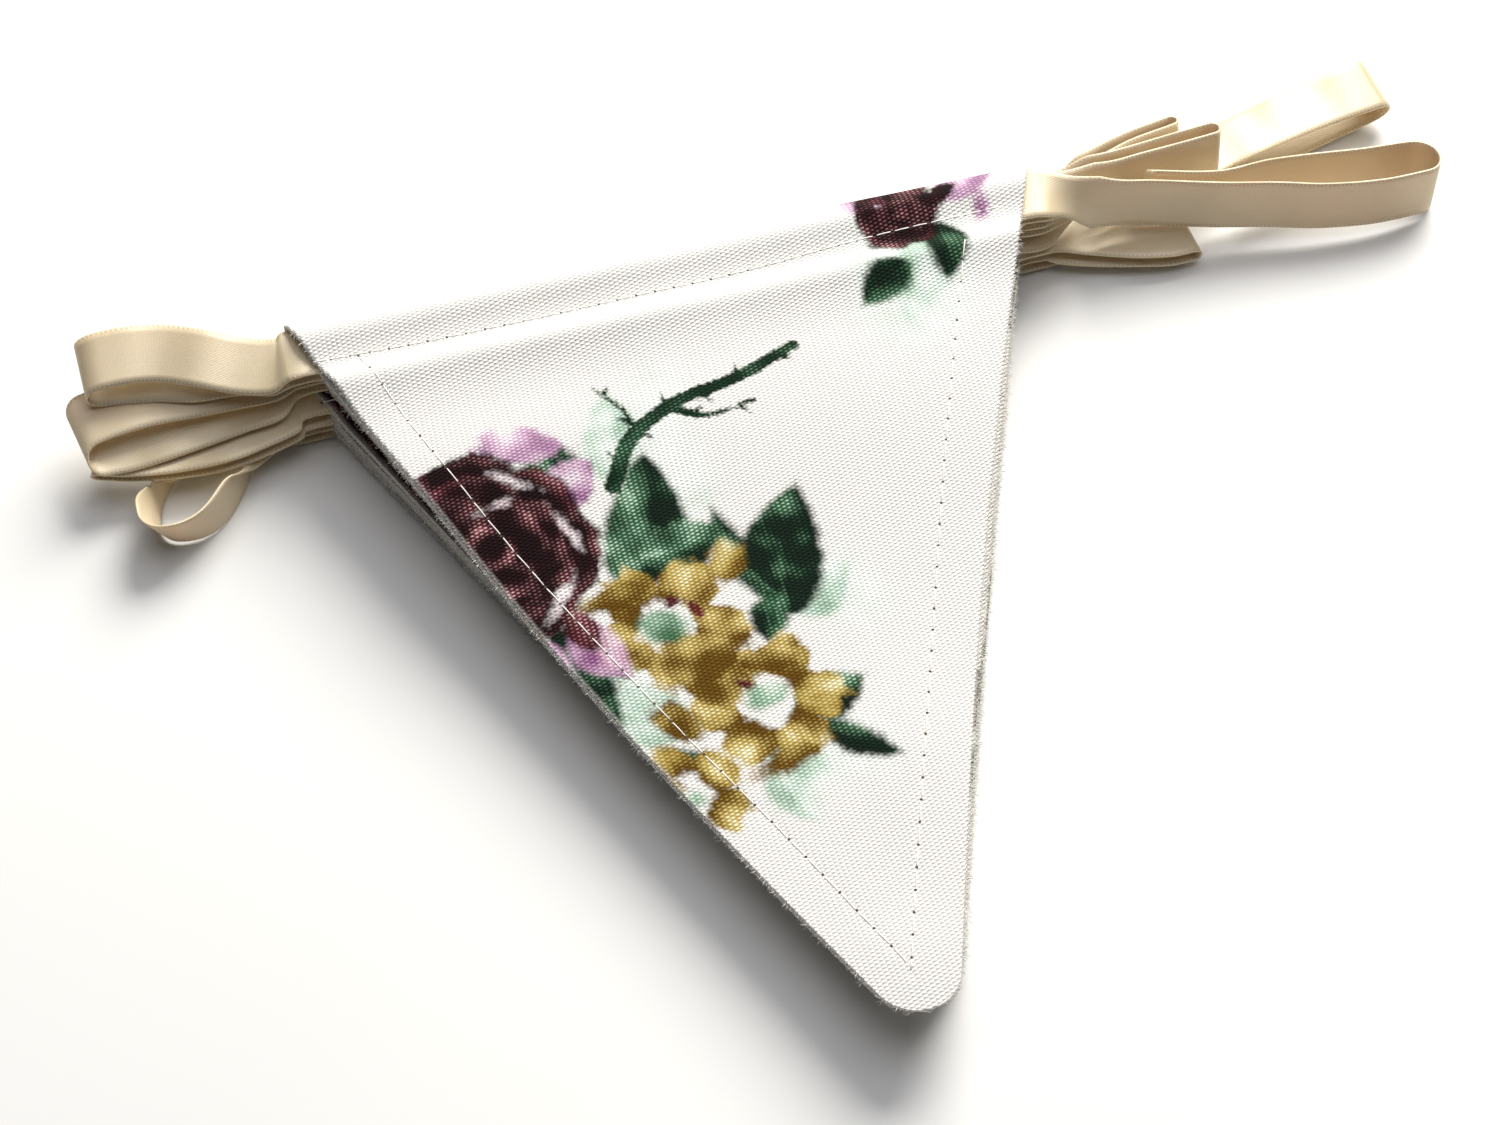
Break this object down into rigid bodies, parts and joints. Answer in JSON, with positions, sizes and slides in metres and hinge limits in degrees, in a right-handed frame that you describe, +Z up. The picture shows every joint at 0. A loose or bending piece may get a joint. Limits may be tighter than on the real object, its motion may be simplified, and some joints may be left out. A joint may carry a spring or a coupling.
{
  "type": "fabric bunting",
  "caption": "Small bunting put away: printed canvas flags folded over one satin ribbon and stacked, with the ribbon looped out at both sides.",
  "frame": {"origin": "middle of the bounding box's base, on the surface that the bunting lies on", "axes": "+X along the flags' folds towards the two tie ends, -Y from the folds to the flags' tips, +Z up"},
  "size_m": [0.2412, 0.164, 0.0199],
  "materials": {
    "canvas": "plain-weave cotton canvas with a printed flower pattern, matt",
    "satin": "double-faced polyester satin ribbon, soft sheen"
  },
  "bodies": {
    "root": {"flag_1": "canvas", "flag_2": "canvas", "flag_3": "canvas", "flag_4": "canvas", "flag_5": "canvas", "flag_6": "canvas", "flag_7": "canvas", "flag_8": "canvas", "ribbon": "satin"}
  },
  "joints": []
}
